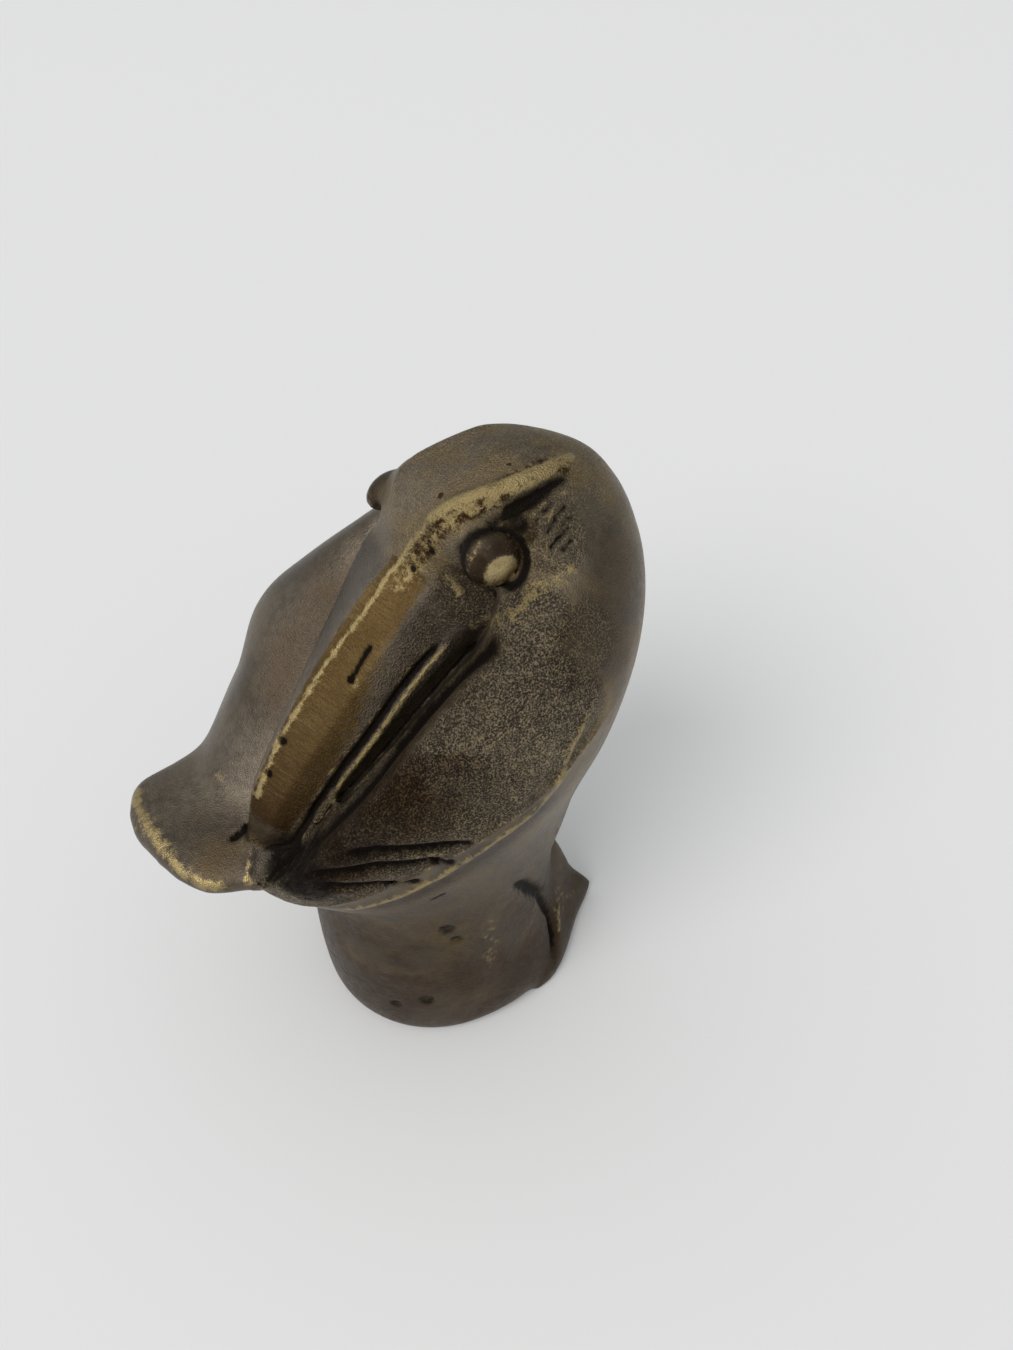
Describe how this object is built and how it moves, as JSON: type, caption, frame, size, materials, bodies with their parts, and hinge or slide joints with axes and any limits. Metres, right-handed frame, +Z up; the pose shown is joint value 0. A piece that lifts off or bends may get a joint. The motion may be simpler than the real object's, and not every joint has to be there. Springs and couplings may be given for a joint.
{
  "type": "pelican figurine",
  "caption": "Small cast brass pelican at rest, head turned back and bill laid along the back between folded wings, on a round flat-bottomed stand.",
  "frame": {"origin": "middle of the flat standing face under the stand", "axes": "+Z up, +X towards the breast and toes, +Y towards the bird's left, so the tail points along -X"},
  "size_m": [0.0707, 0.0506, 0.0949],
  "materials": {
    "smooth_patina": "smooth brown patina, rubbed satin, brighter on the edges",
    "sand_cast": "as-cast sand grain with dark hollows and golden high points",
    "filed_brass": "filed flat and worn golden along the ridges",
    "worn_brass": "worn bright"
  },
  "bodies": {
    "root": {"stand": "smooth_patina", "body": "smooth_patina", "left_wing": "smooth_patina", "right_wing": "sand_cast", "tail": "smooth_patina", "head": "smooth_patina", "upper_bill": "filed_brass", "lower_bill": "filed_brass", "left_eye": "worn_brass", "right_eye": "worn_brass", "left_foot": "smooth_patina", "right_foot": "smooth_patina"}
  },
  "joints": []
}
